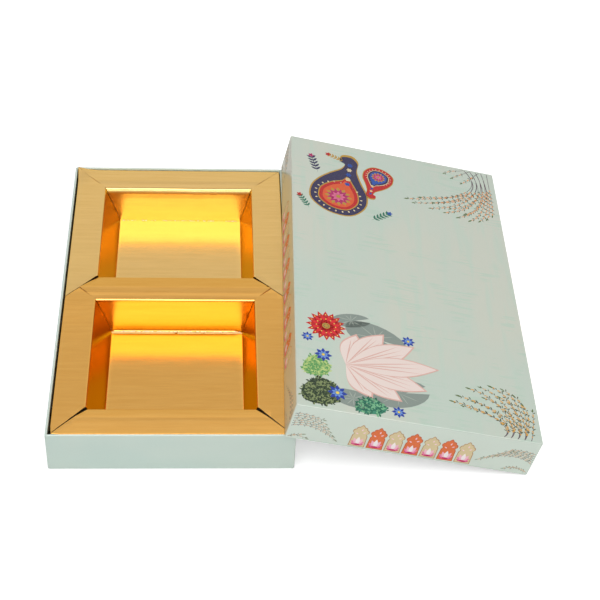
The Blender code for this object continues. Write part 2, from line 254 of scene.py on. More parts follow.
def printed_paper():
    """The lid's ground: grey sage, with broad brush marks of mint along and across the lid.

    The last two layers print the walls nearer to mint, and paint shade on the left one: a little duller,
    with a warm cast standing in for the gold that it mirrors.
    """
    finish = Finish("printed_paper", LID)
    cloud = finish.noise((55.0, 90.0, 60.0), 2.0).ramp(0.35, 0.7)
    down = finish.noise((7.0, 60.0, 30.0), 2.0).ramp(0.48, 0.7)
    across = finish.noise((24.0, 2.4, 10.0), 1.0).ramp(0.52, 0.62)
    patch = finish.noise((26.0, 38.0, 30.0), 1.0).ramp(0.5, 0.6)
    spot = finish.node("ShaderNodeSeparateXYZ", {0: finish.mm}, "Z")
    layers = (
        (cloud, colour(191, 206, 192)),
        (down * 0.55, colour(186, 207, 190)),
        (across * patch * 0.6, colour(177, 203, 184)),
        (spot.ramp(lid_mm.z - 0.3, lid_mm.z - 1.5), colour(211, 224, 211)),
        # painted shade, warmed as by reflected gold, on the lid's left wall
        (spot.out("X").ramp(0.8, 0.1), colour(196, 200, 178)),
    )
    base = colour(200, 205, 189)
    for share, ink in layers:
        base = finish.blend(share, base, ink)
    return laminate(finish, base, 0.45)


def lining_paper():
    finish = Finish("lining_paper")
    fibre = finish.noise((0.5, 0.5, 0.5), 5.0)
    tone = finish.blend(fibre, colour(232, 232, 226), colour(243, 243, 239))
    return finish.set(Base_Color=tone, Roughness=0.75, Normal=finish.bump(fibre, 0.02))


MINT = mint_paper()
PRINTED = printed_paper()
LINING = lining_paper()
print("papers:", MINT.name, PRINTED.name, LINING.name)

# %% [markdown]
# Gold board is paper board with a metal foil and an orange varnish. The varnish gets deeper in colour at
# low angles, which the shader's Specular Tint does for a metal. Its fine brush lines run along one
# direction of the flat sheet, so they are drawn in the sheet's own coordinates, from a UV map in
# millimetres. The cut edge shows the white core, which the pieces mark with an attribute called core.
# The near insert's gold is painted deeper, with a darker low-angle tint, as painted shade for the dimmer
# surroundings of the near cavity.

# %% Gold board, grey board and tape
CORE_WHITE = colour(226, 214, 190)


def gold_board(name, light, deep, low_angle_tint, roughness):
    finish = Finish(name)
    sheet = finish.node("ShaderNodeUVMap", uv_map="sheet")
    lines = finish.noise((22.0, 0.16, 1.0), 3.0, sheet)
    broad = finish.noise((60.0, 3.0, 1.0), 2.0, sheet)
    dents = finish.noise((14.0, 14.0, 14.0), 1.0)
    core = finish.attribute("core").over(0.5)
    tone = finish.blend((lines * 0.7 + broad * 0.3).ramp(0.35, 0.65), deep, light)
    brushed = finish.bump(lines, 0.006)
    return finish.set(
        Base_Color=finish.blend(core, tone, CORE_WHITE),
        Metallic=1.0 - core,
        Roughness=roughness + lines * 0.1 + core * 0.4,
        Normal=finish.bump(dents, 0.09, Normal=brushed),
        Specular_Tint=low_angle_tint,
    )


def raw_board(name, light, dark, speck):
    """Grey board and kraft tape: pulp with flecks of fibre."""
    finish = Finish(name)
    pulp = finish.noise((speck, speck, speck), 6.0)
    fleck = finish.noise((speck * 3, speck * 0.6, speck * 3), 2.0).ramp(0.62, 0.72)
    tone = finish.blend(fleck * 0.5, finish.blend(pulp, dark, light), dark)
    return finish.set(Base_Color=tone, Roughness=0.9, Normal=finish.bump(pulp, 0.05))


# The near copy's deeper gold and darker low-angle tint are painted shade.
FAR_TINT = (0.88, 0.68, 0.18, 1.0)
NEAR_TINT = (0.66, 0.57, 0.18, 1.0)
FAR_GOLD = gold_board("far_gold", colour(232, 194, 127), colour(224, 184, 114), FAR_TINT, 0.19)
NEAR_GOLD = gold_board("near_gold", colour(234, 180, 99), colour(227, 169, 86), NEAR_TINT, 0.15)
GREY_BOARD = raw_board("grey_board", colour(176, 171, 161), colour(140, 134, 122), 0.8)
TAPE = raw_board("tape_paper", colour(206, 178, 138), colour(178, 148, 108), 0.5)
print("boards:", FAR_GOLD.name, NEAR_GOLD.name, GREY_BOARD.name, TAPE.name)

# %% [markdown]
# The print is made of real flat shapes, one ink film thick, because curves drawn as shapes stay sharp
# in any view. They all share one material, which takes each point's colour from the attribute ink and
# lies under the same gloss film as the paper.

# %% Printing ink
def printing_ink():
    finish = Finish("printing_ink")
    ink = finish.attribute("ink", "Color")
    grain = finish.noise((0.35, 0.35, 0.35), 3.0).ramp(0.5, 0.8)
    tone = finish.blend(grain * 0.12, ink, colour(240, 240, 232))
    return finish.set(
        Base_Color=tone,
        Roughness=0.45,
        Specular_IOR_Level=0.15,
        Coat_Weight=0.25,
        Coat_Roughness=FILM_ROUGHNESS,
    )


INK = printing_ink()
print("ink:", INK.name)

# %% [markdown]
# Pieces are written straight into the world's place, with the object left at the origin. Helpers turn a
# bmesh into a piece, apply its modifiers, and give it its body and the CAD nodes it stands for.

# %% Helpers for pieces
SHARP_ANGLE = math.radians(40)


def mesh_of(sheet, name):
    mesh = bpy.data.meshes.new(name)
    sheet.to_mesh(mesh)
    sheet.free()
    return mesh


def add_object(name, data):
    obj = bpy.data.objects.new(name, data)
    bpy.context.scene.collection.objects.link(obj)
    return obj


def piece_of(sheet, name, material):
    """A smooth-shaded object with that mesh, sharp where it bends by more than a fold's step."""
    mesh = mesh_of(sheet, name)
    mesh.materials.append(material)
    mesh.shade_smooth()
    mesh.set_sharp_from_angle(angle=SHARP_ANGLE)
    return add_object(name, mesh)


def finished(obj):
    """The object as its modifiers leave it, in a plain mesh."""
    graph = bpy.context.evaluated_depsgraph_get()
    plain = bpy.data.meshes.new_from_object(obj.evaluated_get(graph))
    obj.modifiers.clear()
    old = obj.data
    obj.data = plain
    bpy.data.meshes.remove(old)
    plain.name = obj.name
    return obj


def modified(obj, kind, **settings):
    """The object as one modifier leaves it."""
    modifier = obj.modifiers.new("modifier", kind)
    for name, value in settings.items():
        setattr(modifier, name, value)
    return finished(obj)


def stand_for(obj, body, slot, *nodes):
    """Rides with a body and replaces CAD nodes. Its slot is not used."""
    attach(obj, body)
    if nodes:
        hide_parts(*nodes)
    print(obj.name, "rides on", body, "with", len(obj.data.polygons), "faces")


print("helpers: piece_of, modified, stand_for")

# %% [markdown]
# The wraps are drawn again with rounder edges than the solids need. Real wrapping paper shows how it was
# folded: the long sides go round the corners first, and the short sides are laid over them and end right
# at the corner. So the outline, seen from above, has a small step beside each corner.

# %% Outline of a wrap
WRAP_CORNER = 1.1 * MM
LEAST_CORNER = 0.3 * MM
LAP = 0.1 * MM
LAP_START = 0.35 * MM
RUN_STEP = 9.0 * MM
ARC_STEPS = 6
QUARTER_TURN = [math.pi / 2 * step / ARC_STEPS for step in range(ARC_STEPS + 1)]


def wrap_outline(size, inset, lap):
    """Points round a box with their wear and painted highlight, anticlockwise, the short sides' paper on
    top.
    """
    radius = max(WRAP_CORNER - inset, LEAST_CORNER)
    half_x = size.x / 2 - inset
    half_y = size.y / 2 - inset - lap
    corners = []
    for quarter, (sx, sy) in enumerate(((1, 1), (-1, 1), (-1, -1), (1, -1))):
        centre = Vector((sx * (half_x - radius), sy * (half_y - radius)))
        arc = []
        for turn in QUARTER_TURN:
            angle = math.pi / 2 * quarter + turn
            arc.append((centre + radius * Vector((math.cos(angle), math.sin(angle))), math.sin(2 * turn)))
        inward = Vector((-sx, 0))
        outward = Vector((0, sy))
        edge = centre + outward * radius + inward * LAP_START
        raised = edge + outward * lap
        laps = [(edge, 0.25), (raised + inward * LAP, 0.5), (raised + inward * 4 * LAP, 0.0)]
        corners.append(arc + laps if quarter % 2 == 0 else laps[::-1] + arc)
    outline = []
    for quarter, points in enumerate(corners):
        outline += points
        last = points[-1][0]
        following = corners[(quarter + 1) % 4][0][0]
        count = round((size.y if quarter % 2 else size.x) / RUN_STEP)
        outline += [(last.lerp(following, i / count), 0.0) for i in range(1, count)]
    return outline


print("points round the tray's wrap:", len(wrap_outline(tray_size, 0.0, LAP)))

# %% [markdown]
# Seen from the side, the paper runs under the floor, up the wall, round the rim and down inside. The
# outline is drawn once for each step of that profile and the rings are joined by faces, which makes an
# open sheet. The Solidify modifier gives it the paper's thickness.

# %% Draw the wraps
WRAP_WALL = 1.7 * MM
PAPER = 0.2 * MM
WRAP_EDGE = 0.8 * MM
WRAP_TURN_IN = 15.0 * MM
FLAT_MARGIN = 4.0 * MM
WALL_STEPS = 5


def wrap_profile(height):
    """Steps (inset, z, wear and painted highlight) under the floor, up the wall, round the rim and down
    inside.

    The first ring keeps the corners' wear and painted highlight from fading in across the whole flat face.
    """
    inner = WRAP_EDGE - PAPER / 2
    steps = [(FLAT_MARGIN, 0.0, 0.0)]
    for turn in QUARTER_TURN:
        inset = WRAP_EDGE * (1 - math.sin(turn))
        steps.append((inset, WRAP_EDGE * (1 - math.cos(turn)), math.sin(2 * turn)))
    for i in range(1, WALL_STEPS):
        steps.append((0.0, WRAP_EDGE + (height - 2 * WRAP_EDGE) * i / WALL_STEPS, 0.0))
    for turn in QUARTER_TURN:
        inset = WRAP_EDGE * (1 - math.cos(turn))
        steps.append((inset, height - WRAP_EDGE * (1 - math.sin(turn)), math.sin(turn)))
    for turn in QUARTER_TURN:
        inset = WRAP_WALL - inner * (1 - math.sin(turn))
        steps.append((inset, height - inner * (1 - math.cos(turn)), math.cos(turn)))
    steps.append((WRAP_WALL, height - WRAP_TURN_IN, 0.0))
    return steps


def wrap_sheet(size):
    """The outer surface of a wrap, mouth up, its middle at x = 0 and y = 0 and its floor at z = 0."""
    sheet = bmesh.new()
    # A vertex attribute for pale edges: wear, and a painted highlight along the rounded edges.
    worn_and_sheen = sheet.verts.layers.float.new("wear")
    rings = []
    for inset, z, wear in wrap_profile(size.z):
        outside = inset < WRAP_WALL / 2
        ring = []
        for spot, corner_wear_and_sheen in wrap_outline(size, inset, LAP if outside else 0.0):
            vert = sheet.verts.new((spot.x, spot.y, z))
            vert[worn_and_sheen] = max(wear, corner_wear_and_sheen if outside else 0.0)
            ring.append(vert)
        rings.append(ring)
    count = len(rings[0])
    sheet.faces.new(rings[0][::-1])
    for lower, upper in zip(rings, rings[1:]):
        for i in range(count):
            j = (i + 1) % count
            sheet.faces.new((lower[i], lower[j], upper[j], upper[i]))
    return sheet


def wrap_piece(sheet, name, material):
    """A wrap as thick as its paper, which lies within the sheet."""
    return modified(piece_of(sheet, name, material), "SOLIDIFY", thickness=PAPER, offset=-1.0)


tray_paper = wrap_piece(wrap_sheet(tray_size), "tray_paper", MINT)
stand_for(tray_paper, "base", "mint_paper", "base_wrap")

lid_sheet = wrap_sheet(lid_size)
lid_top = Matrix.Translation((lid_size.x / 2, lid_size.y / 2, lid_size.z))
lid_sheet.transform(LID @ lid_top @ Matrix.Rotation(math.pi, 4, "X"))
lid_paper = wrap_piece(lid_sheet, "lid_paper", PRINTED)
stand_for(lid_paper, "lid", "printed_paper", "lid_wrap")

# %% [markdown]
# The print on the lid is drawn as flat plates of ink, a hundredth of a millimetre thick, in the plane of
# one face at a time and in millimetres. Real printing lays one ink over another, and so do these plates:
# each shape has a layer. A few outlines give every motif: petals, ovals and smooth closed curves.

# %% Flat inked shapes
INK_STEP = 0.012 * MM
INK_ROOT = 0.01 * MM


def petal(length, width, fullness=1.0, steps=6):
    """From its base at the origin to its tip on the x axis. Under 1, fullness puts the belly nearer it."""
    upper = []
    for i in range(1, steps):
        t = i / steps
        upper.append((length * t, width / 2 * math.sin(math.pi * t ** fullness)))
    return [(0.0, 0.0), *upper, (length, 0.0), *((x, -y) for x, y in reversed(upper))]


def oval(width, height, steps=12):
    angles = [math.tau * i / steps for i in range(steps)]
    return [(width / 2 * math.cos(a), height / 2 * math.sin(a)) for a in angles]


def rounded(points, steps=4):
    """A smooth closed curve through the points."""
    curve = []
    for i in range(len(points)):
        a, b, c, d = (Vector(points[(i + k) % len(points)]) for k in (-1, 0, 1, 2))
        for step in range(steps):
            t = step / steps
            bend = (2 * a - 5 * b + 4 * c - d) * t * t + (3 * b - a - 3 * c + d) * t ** 3
            curve.append((2 * b + (c - a) * t + bend) / 2)
    return curve


def placed(x, y, spot, turn):
    """A point of a drawing, turned about its origin by so many degrees and moved to a spot."""
    return Vector(spot) + Matrix.Rotation(math.radians(turn), 2) @ Vector((x, y))


class Print:
    """Plates of ink, which are drawn with shape and end as a mesh or as an object."""

    def __init__(self):
        self.sheet = bmesh.new()
        self.ink = self.sheet.verts.layers.float_color.new("ink")

    def shape(self, outline, ink, layer, spot=(0.0, 0.0), turn=0.0, size=(1.0, 1.0)):
        lower, upper = rings = ([], [])
        for x, y in outline:
            place = placed(x * size[0], y * size[1], spot, turn)
            for ring, z in zip(rings, (-INK_ROOT, layer * INK_STEP)):
                vert = self.sheet.verts.new((place.x * MM, place.y * MM, z))
                vert[self.ink] = ink
                ring.append(vert)
        self.sheet.faces.new(lower)
        self.sheet.faces.new(upper)
        for i in range(len(outline)):
            self.sheet.faces.new((lower[i - 1], lower[i], upper[i], upper[i - 1]))
        return self

    def flower(self, spot, count, outline, ink, layer, turn=0.0):
        """Petals all round a centre."""
        for i in range(count):
            self.shape(outline, ink, layer, spot, turn + 360 * i / count)

    def ring(self, spot, radius, count, outline, ink, layer):
        """Small shapes on a circle round a centre."""
        for i in range(count):
            angle = math.tau * i / count
            place = (spot[0] + radius * math.cos(angle), spot[1] + radius * math.sin(angle))
            self.shape(outline, ink, layer, place, math.degrees(angle))

    def done(self, name):
        bmesh.ops.recalc_face_normals(self.sheet, faces=self.sheet.faces)
        return mesh_of(self.sheet, name)

    def template(self, name):
        return add_object(name, self.done(name))


print("outlines: petal, oval, rounded")

# %% [markdown]
# Blossom sprays, rows of panels and masses of leaves repeat one small drawing many times, which is work
# for Geometry Nodes. Each tree takes its drawings and distances as inputs. The trees run on plain meshes,
# and what they make is kept as a plain mesh too.

# %% A class for Geometry Nodes
class Tree(Graph):
    """A Geometry Nodes tree with named inputs, each of a kind."""

    def __init__(self, name, **inputs):
        super().__init__(bpy.data.node_groups.new(name, "GeometryNodeTree"))
        sockets = {"geometry": "Geometry", **inputs, "finish": "Material"}
        new_socket = self.tree.interface.new_socket
        for label, kind in sockets.items():
            new_socket(label, in_out="INPUT", socket_type="NodeSocket" + kind)
        new_socket("geometry", in_out="OUTPUT", socket_type="NodeSocketGeometry")
        self.given = self.node("NodeGroupInput", output="geometry")

    def random(self, low, high, seed):
        return self.node("FunctionNodeRandomValue", {"Min": low, "Max": high, "Seed": seed})

    def vector(self, **axes):
        return self.node("ShaderNodeCombineXYZ", axes)

    def stamp(self, points, label, turn, scale, selection):
        """The template that an input names, on every selected point, turned in the plane."""
        drawing = self.node("GeometryNodeObjectInfo", {"Object": self.given.out(label)}, "Geometry")
        sockets = {"Points": points, "Instance": drawing, "Selection": selection}
        made = self.node("GeometryNodeInstanceOnPoints", {**sockets, "Rotation": self.vector(Z=turn)})
        flat = self.vector(X=scale, Y=scale, Z=1.0)
        return self.node("GeometryNodeScaleInstances", {"Instances": made, "Scale": flat})

    def end(self, *parts):
        """Joins the parts, makes them real and gives them the finish."""
        whole = self.node("GeometryNodeJoinGeometry")
        for part in parts:
            self.join(part, whole.end.node.inputs[0])
        real = self.node("GeometryNodeRealizeInstances", {"Geometry": whole})
        sockets = {"Geometry": real, "Material": self.given.out("finish")}
        self.node("NodeGroupOutput", {"geometry": self.node("GeometryNodeSetMaterial", sockets)})

    def grow(self, mesh, **values):
        """Runs the tree on a mesh, gives back what it makes as a plain mesh and clears the templates."""
        obj = add_object("seedbed", mesh)
        growth = obj.modifiers.new(self.tree.name, "NODES")
        growth.node_group = self.tree
        values["finish"] = INK
        for socket in self.tree.interface.items_tree:
            if socket.in_out == "INPUT" and socket.name in values:
                growth[socket.identifier] = values[socket.name]
        made = finished(obj).data
        for used in (obj, *values.values()):
            if isinstance(used, bpy.types.Object):
                bpy.data.objects.remove(used)
        return made


print("class: Tree")

# %% [markdown]
# A spray has its drawings along stems, a row has them along a line, and a bush has them strewn over a
# shape. Each of these is a tree of its own, and all three put the drawings on points with stamp.

# %% Trees that repeat a drawing
STEM_INK = colour(88, 66, 78)
STEM_FLATNESS = 0.06
STEM_TAPER = 0.6
LEAF_LEAN = (0.45, 1.05)
LEAF_SCALE = (0.75, 1.2)
SCRAP_SCALE = (0.7, 1.3)
SCRAP_RISE = 4 * INK_STEP
FIRST_SHARE = 0.6


def spray_tree():
    """Stems with pairs of leaves and pairs of buds by turns, and a long leaf at each tip.

    The share called bare, from the root on, has no leaves.
    """
    drawings = {"leaf": "Object", "bud": "Object", "tip": "Object"}
    tree = Tree("blossom_spray", **drawings, spacing="Float", width="Float", bare="Float", seed="Int")
    given = tree.given.out
    seed = given("seed")
    stems = tree.node("GeometryNodeMeshToCurve", {"Mesh": tree.given})
    even = {"Curve": stems, "Length": given("spacing")}
    spots = tree.node("GeometryNodeResampleCurve", even, mode="LENGTH")
    along = tree.node("ShaderNodeSeparateXYZ", {0: tree.node("GeometryNodeInputTangent")}, "X")
    heading = along.maths("ARCTAN2", along.out("Y"), along)
    index = tree.node("GeometryNodeInputIndex")
    side = (index % 2) * 2 - 1
    buds = (index % 4).over(1.5)
    turn = heading + side * tree.random(*LEAF_LEAN, seed)
    scale = tree.random(*LEAF_SCALE, seed + 1)
    way = tree.node("GeometryNodeSplineParameter")
    leafy = way.over(given("bare"))
    thin = (1.0 - way * STEM_TAPER) * given("width")
    pen = tree.node("GeometryNodeCurvePrimitiveCircle", {"Resolution": 4, "Radius": 1.0})
    swept = {"Curve": stems, "Profile Curve": pen, "Scale": thin, "Fill Caps": True}
    wood = tree.node("GeometryNodeCurveToMesh", swept)
    wood = tree.node("GeometryNodeTransform", {"Geometry": wood, "Scale": (1.0, 1.0, STEM_FLATNESS)})
    inked = {"Geometry": wood, "Name": "ink", "Value": STEM_INK}
    wood = tree.node("GeometryNodeStoreNamedAttribute", inked, data_type="FLOAT_COLOR", domain="POINT")
    last = tree.node("GeometryNodeCurveEndpointSelection", {"Start Size": 0, "End Size": 1})
    tree.end(
        wood,
        tree.stamp(spots, "leaf", turn, scale, leafy * (1.0 - buds)),
        tree.stamp(spots, "bud", turn, scale, leafy * buds),
        tree.stamp(spots, "tip", heading, scale, last),
    )
    return tree


def row_tree():
    """Two drawings by turns along a line."""
    tree = Tree("panel_row", first="Object", second="Object", count="Int", pitch="Float")
    given = tree.given.out
    step = tree.vector(X=given("pitch"))
    line = tree.node("GeometryNodeMeshLine", {"Count": given("count"), "Offset": step})
    odd = tree.node("GeometryNodeInputIndex") % 2
    first = tree.stamp(line, "first", 0.0, 1.0, 1.0 - odd)
    tree.end(first, tree.stamp(line, "second", 0.0, 1.0, odd))
    return tree


def scatter_tree():
    """Two drawings strewn over a shape, turned by up to the spin either way, some over others."""
    drawings = {"first": "Object", "second": "Object"}
    tree = Tree("leaf_scatter", **drawings, density="Float", spin="Float", seed="Int")
    given = tree.given.out
    seed = given("seed")
    cast = {"Mesh": tree.given, "Density": given("density"), "Seed": seed}
    spots = tree.node("GeometryNodeDistributePointsOnFaces", cast)
    rise = tree.vector(Z=tree.random(0.0, SCRAP_RISE, seed))
    spots = tree.node("GeometryNodeSetPosition", {"Geometry": spots, "Offset": rise})
    spin = given("spin")
    turn = tree.random(spin * -1.0, spin, seed + 1)
    scale = tree.random(*SCRAP_SCALE, seed + 2)
    second = tree.random(0.0, 1.0, seed + 3).over(FIRST_SHARE)
    first = tree.stamp(spots, "first", turn, scale, 1.0 - second)
    tree.end(first, tree.stamp(spots, "second", turn, scale, second))
    return tree


SPRAY = spray_tree()
ROW = row_tree()
SCATTER = scatter_tree()
print("trees:", [tree.tree.name for tree in (SPRAY, ROW, SCATTER)])

# %% [markdown]
# The sprays arch out of two corners of the top and run on over the walls. Each stem is a curve from its
# root to its tip, drawn to two guiding points on its way.

# %% Blossom sprays
LEAF_INK = colour(84, 92, 58)
BUD_INK = colour(238, 158, 92)
GOLD_BUD_INK = colour(222, 166, 78)
PALE_BUD_INK = colour(226, 172, 122)
TIP_INK = colour(96, 116, 66)
PAPER_INK = colour(204, 212, 196)
STEM_STEPS = 16
STEM_WIDTH = 0.24 * MM
LEAF_SPACING = 1.3 * MM


def bent(*guides):
    """Points of one stem."""
    points = []
    for i in range(STEM_STEPS + 1):
        t = i / STEM_STEPS
        s = 1 - t
        weights = (s ** 3, 3 * s * s * t, 3 * s * t * t, t ** 3)
        points.append([sum(w * p[k] for w, p in zip(weights, guides)) for k in (0, 1)])
    return points


def faded(ink, share):
    """An ink printed paler, towards the ground's colour."""
    return tuple(a + (b - a) * share for a, b in zip(ink, PAPER_INK))


def bed(points, edges=(), faces=()):
    """A flat mesh, from points in millimetres, for a tree to grow on."""
    mesh = bpy.data.meshes.new("bed")
    mesh.from_pydata([(x * MM, y * MM, 0.0) for x, y in points], edges, faces)
    return mesh


def spray(stems, bud_ink, seed, bare=0.0, fade=0.0, scale=1.0):
    """A spray of these stems as a plain mesh."""
    drawings = {
        "leaf": (petal(2.4, 0.8, steps=4), LEAF_INK, 2, 0.2),
        "bud": (oval(1.5, 1.1, 6), bud_ink, 3, 0.2),
        "tip": (petal(4.6, 1.4, steps=5), TIP_INK, 2, 0.0),
    }
    templates = {}
    for name, (outline, ink, layer, foot) in drawings.items():
        drawing = Print().shape(outline, faded(ink, fade), layer, (foot, 0.0), size=(scale, scale))
        templates[name] = drawing.template(name)
    points = [point for stem in stems for point in stem]
    edges = [(i - 1, i) for i in range(len(points)) if i % (STEM_STEPS + 1)]
    sizes = {"spacing": scale * LEAF_SPACING, "width": scale * STEM_WIDTH}
    return SPRAY.grow(bed(points, edges), **templates, **sizes, bare=bare, seed=seed)


FAR_TIPS = [
    (98, 250), (103, 246), (110, 255), (117, 243), (121, 251), (129, 241), (134, 247), (140, 238),
    (147, 244), (150, 237), (158, 239), (164, 243), (169, 249),
]
NEAR_TIPS = [
    (114, 27), (121, 24), (120, 33), (128, 42), (129, 30), (136, 45), (138, 35), (145, 47), (150, 38),
    (153, 46), (161, 41), (166, 33), (172, 29),
]
STEMS_MEET = 172    # the x towards which each stem is bent on its way to its tip
far_stems = []
for i, (x, y) in enumerate(FAR_TIPS):
    root = (150 + 5 * (i // 3), 303)
    bend = (168 + 0.6 * (i // 3), 279 - (i % 3) * 3)
    far_stems.append(bent(root, bend, (x + 0.56 * (STEMS_MEET - x), y + 8), (x, y)))
for x, y in ((133, 295), (139, 290), (147, 285)):
    far_stems.append(bent((x + 16, 303), (x + 13, 300), (x + 7, y + 6), (x, y)))
near_stems = []
for i, (x, y) in enumerate(NEAR_TIPS):
    root = (147 + 5 * (i // 3), 1)
    bend = (157 + 1.1 * i, 10 + i % 2)
    near_stems.append(bent(root, bend, (x + 0.45 * (STEMS_MEET - x), y - 3), (x, y)))
top_sprays = [spray(far_stems, BUD_INK, 3, bare=0.38), spray(near_stems, GOLD_BUD_INK, 8, bare=0.12)]
print("stems on the top:", len(far_stems) + len(near_stems))

# %% [markdown]
# Each wall has a row of cusped panels with a lotus in each, cream and orange by turns, between two paler
# sprays. The lid's walls are seen from outside with the mouth down.

# %% Rows of lotus panels
CREAM = colour(222, 203, 158)
ORANGE = colour(229, 114, 60)
PANEL_FOOT = 2.4 * MM
ARCH_HALF = [
    (5.8, 0.0), (5.4, 11.0), (4.6, 12.0), (4.9, 13.2), (5.7, 14.0), (5.8, 15.6), (4.9, 17.0), (4.0, 17.3),
    (3.8, 18.6), (2.8, 19.4), (1.8, 19.5), (1.2, 20.6),
]
ARCH = [*ARCH_HALF, (0.0, 21.8), *((-x, y) for x, y in reversed(ARCH_HALF))]


def panel(name, fill, edge):
    """One panel: its outline, its ground, a lotus in its foot and loose petals over it."""
    drawing = Print()
    drawing.shape(ARCH, edge, 1)
    drawing.shape(ARCH, fill, 2, (0.0, 0.45), size=(0.9, 0.945))
    petals = [(0, 8.2, 3.0, colour(252, 240, 240)), (26, 7.4, 2.8, colour(247, 190, 208))]
    petals += [(52, 6.2, 2.4, colour(238, 130, 172)), (78, 4.8, 1.8, colour(222, 66, 132))]
    for layer, (lean, length, width, ink) in enumerate(reversed(petals)):
        for side in (-1, 1) if lean else (1,):
            drawing.shape(petal(length, width, 0.9), ink, 3 + layer, (0.0, 1.6), 90 + side * lean)
    drawing.shape(oval(4.6, 2.0), colour(205, 36, 104), 7, (0.0, 2.0))
    for x, y, lean in ((-1.5, 12.2, 150), (1.6, 13.6, 35), (0.3, 15.6, 80)):
        drawing.shape(petal(2.3, 1.0, 0.8, 5), colour(248, 214, 224), 3, (x, y), lean)
    return drawing.template(name)


def wall_print(length, first, last, count, seed):
    """A wall's print: its row of panels and its two end sprays."""
    cream = panel("cream_panel", CREAM, colour(186, 140, 96))
    orange = panel("orange_panel", ORANGE, colour(196, 92, 52))
    pitch = (last - first) / (count - 1) * MM
    row = ROW.grow(bed([]), first=cream, second=orange, count=count, pitch=pitch)
    row.transform(Matrix.Translation((first * MM, PANEL_FOOT, 0.0)))
    stems = []
    for i in range(6):
        tip = (33 - 2.5 * i, 6 + 3.4 * i)
        stems.append(bent((1.5, 13 + 2.4 * i), (8, 17 + 2 * i), (20 - i, 16 + 1.6 * i), tip))
        tip = (length - 39 + 4 * i, 9 + 2.6 * i)
        stems.append(bent((length - 1.5, 12 + 2 * i), (length - 12, 20 + i), (length - 24, 18 + i), tip))
    for i in range(2):
        stems.append(bent((1.5, 2), (4, 4), (8, 5), (13 - 3 * i, 3 + 2.5 * i)))
        tip = (length - 18 + 4 * i, 4 + 2 * i)
        stems.append(bent((length - 2, 3), (length - 6, 6), (length - 12, 7), tip))
    return [row, spray(stems, PALE_BUD_INK, seed, fade=0.42, scale=0.8)]


WALLS = {
    # the wall's length, the middles of its first and last panel, the number of panels and a seed
    "front": (lid_mm.x, 49.7, 126.0, 7, 11),
    "back": (lid_mm.x, 49.7, 126.0, 7, 12),
    "left": (lid_mm.y, 75.0, 240.0, 13, 13),
    "right": (lid_mm.y, 75.0, 240.0, 13, 14),
}
wall_prints = {face: wall_print(*values) for face, values in WALLS.items()}
print("panel rows on", len(wall_prints), "walls")

# %% [markdown]
# Two places of the top carry a picture of their own in the photograph. Here they carry common motifs of
# like size and colour: two paisleys in indigo, red and gold, and a pink lotus with water lily pads, a red
# rosette, blue flowers and masses of leaves.

# %% Paisleys
INDIGO = colour(48, 42, 82)
GOLD_INK = colour(188, 146, 56)
RED_INK = colour(192, 26, 26)
MAGENTA = colour(182, 34, 104)
BLUE_INK = colour(38, 82, 170)
TEAL_INK = colour(36, 112, 86)
CREAM_INK = colour(232, 212, 166)
PAISLEY = rounded([
    (0.0, -1.0), (0.76, -0.74), (1.04, 0.0), (0.86, 0.7), (0.4, 1.25), (0.02, 1.8), (-0.12, 2.3),
    (-0.45, 2.52), (-0.78, 2.34), (-0.76, 2.06), (-0.52, 1.98), (-0.52, 1.6), (-0.78, 1.1),
    (-1.0, 0.5), (-1.04, -0.1), (-0.76, -0.74),
])
TEARDROP = rounded([
    (0.0, -1.0), (0.76, -0.74), (1.04, 0.0), (0.84, 0.7), (0.36, 1.3), (-0.2, 1.8), (-0.34, 1.4),
    (-0.74, 0.95), (-1.02, 0.35), (-1.04, -0.1), (-0.76, -0.74),
])


def paisley(art, spot, size, turn, inks):
    """A teardrop with a curled tip, in bands, round a rosette."""
    bands = ((PAISLEY, 1.0), (PAISLEY, 0.95), (TEARDROP, 0.7), (TEARDROP, 0.66), (TEARDROP, 0.54))
    for layer, ((outline, share), ink) in enumerate(zip(bands, inks)):
        art.shape(outline, ink, layer + 1, spot, turn, (size * share, size * share))
    art.ring(spot, size * 0.82, 22, oval(size * 0.09, size * 0.06, 8), CREAM_INK, 4)
    art.flower(spot, 12, petal(size * 0.5, size * 0.2), GOLD_INK, 6)
    art.flower(spot, 12, petal(size * 0.42, size * 0.17), MAGENTA, 7, 15)
    art.flower(spot, 8, petal(size * 0.26, size * 0.13), colour(226, 110, 150), 8)
    art.shape(oval(size * 0.16, size * 0.16), GOLD_INK, 9, spot)
    for i in range(5):
        place = placed(-0.08 * size * i, size * (0.86 + 0.27 * i), spot, turn)
        art.flower(place, 6, petal(size * 0.11, size * 0.07, steps=4), (BLUE_INK, CREAM_INK)[i % 2], 6)


def sprig(art, spot, turn, length, ink, bud):
    """A little branch with leaves on both sides."""
    art.shape(petal(length, 0.7), ink, 1, spot, turn)
    for i in range(1, 6):
        place = placed(length * i / 6, 0.0, spot, turn)
        for side in (-1, 1):
            art.shape(petal(length * 0.24, length * 0.09, 0.8, 5), ink, 2, place, turn + side * 48)
    art.flower(placed(length, 0.0, spot, turn), 5, petal(2.6, 1.6, 0.8, 5), bud, 3)


far_art = Print()
paisley(far_art, (38, 235), 23, -24, (GOLD_INK, INDIGO, GOLD_INK, RED_INK, colour(222, 92, 44)))
paisley(far_art, (73, 270), 12.5, 152, (GOLD_INK, RED_INK, CREAM_INK, INDIGO, BLUE_INK))
sprig(far_art, (14, 214), 118, 17, TEAL_INK, RED_INK)
sprig(far_art, (64, 213), 38, 20, TEAL_INK, BLUE_INK)
sprig(far_art, (22, 262), 104, 22, INDIGO, MAGENTA)
sprig(far_art, (46, 283), 158, 16, GOLD_INK, RED_INK)
print("faces of the paisleys:", len(far_art.sheet.faces))

# %% [markdown]
# The lotus is drawn like the ones in the panels, but large and lying towards the middle of the lid.

